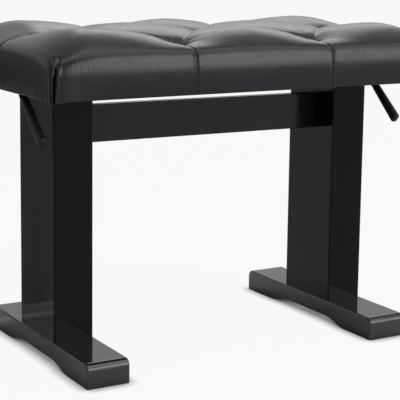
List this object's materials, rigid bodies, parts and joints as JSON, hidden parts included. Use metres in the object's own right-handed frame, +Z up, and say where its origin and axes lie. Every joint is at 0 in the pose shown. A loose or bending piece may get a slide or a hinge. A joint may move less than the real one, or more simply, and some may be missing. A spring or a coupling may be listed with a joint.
{
  "type": "piano bench",
  "caption": "Height-adjustable piano bench: tufted leather seat on two lacquered columns with block feet, sliding tubes, gas springs and side release levers.",
  "frame": {"origin": "on the floor under the middle of the bench", "axes": "+X along the bench to the right-hand lever, -Y towards the player, +Z up"},
  "size_m": [0.628, 0.355, 0.464],
  "materials": {
    "black_lacquer": "high-gloss black lacquer over wood",
    "bare_wood": "bare plywood and beech",
    "black_leather": "smooth black leather, semi-gloss",
    "foam": "upholstery foam",
    "zinc_steel": "zinc-plated steel",
    "black_steel": "satin black powder coat",
    "polished_rod": "polished steel",
    "nylon": "black nylon",
    "grip_plastic": "satin black plastic",
    "rubber": "black rubber"
  },
  "bodies": {
    "base": {"left_foot": "black_lacquer", "left_column": "black_lacquer", "left_base_block": "bare_wood", "left_spring_bracket": "zinc_steel", "left_gas_cylinder": "black_steel", "left_guide_collar": "nylon", "right_foot": "black_lacquer", "right_column": "black_lacquer", "right_base_block": "bare_wood", "right_spring_bracket": "zinc_steel", "right_gas_cylinder": "black_steel", "right_guide_collar": "nylon", "stretcher": "black_lacquer", "stretcher_screws": "zinc_steel", "foot_glides": "nylon", "foot_bolts": "zinc_steel", "foot_washers": "zinc_steel", "threaded_inserts": "zinc_steel", "bracket_screws": "zinc_steel", "spring_pins": "zinc_steel"},
    "seat": {"left_slide_tube": "black_steel", "left_carrier": "black_steel", "left_gas_rod": "polished_rod", "left_end_rail": "bare_wood", "right_slide_tube": "black_steel", "right_carrier": "black_steel", "right_gas_rod": "polished_rod", "right_end_rail": "bare_wood", "lower_guides": "nylon", "buffer_pads": "rubber", "rod_nuts": "zinc_steel", "carrier_screws": "zinc_steel", "shaft_bushes": "nylon", "front_rail": "bare_wood", "back_rail": "bare_wood", "corner_blocks": "bare_wood", "seat_board": "bare_wood", "board_screws": "zinc_steel", "seat_cushion": "foam", "seat_cover": "black_leather"},
    "release": {"release_shaft": "zinc_steel", "left_lever": "black_steel", "right_lever": "black_steel", "left_grip": "grip_plastic", "right_grip": "grip_plastic", "left_valve_finger": "zinc_steel", "right_valve_finger": "zinc_steel", "set_screws": "zinc_steel"},
    "left_valve": {"left_valve_pin": "polished_rod"},
    "right_valve": {"right_valve_pin": "polished_rod"}
  },
  "joints": [
    {"name": "seat_lift", "type": "slide", "parent": "base", "child": "seat", "axis": [0, 0, 1], "range_m": [0, 0.1]},
    {"name": "release_turn", "type": "hinge", "parent": "seat", "child": "release", "pos_m": [0, 0, 0.4025], "axis": [-1, 0, 0], "range_deg": [0, 15], "stiffness_Nm_per_rad": 0.6, "springref_deg": -8.59},
    {"name": "left_valve_press", "type": "slide", "parent": "seat", "child": "left_valve", "axis": [0, 0, -1], "range_m": [0, 0.0027]},
    {"name": "right_valve_press", "type": "slide", "parent": "seat", "child": "right_valve", "axis": [0, 0, -1], "range_m": [0, 0.0027]}
  ],
  "couplings": [
    {"joint": "left_valve_press", "follows": "release_turn", "m_per_rad": 0.01},
    {"joint": "right_valve_press", "follows": "release_turn", "m_per_rad": 0.01}
  ]
}
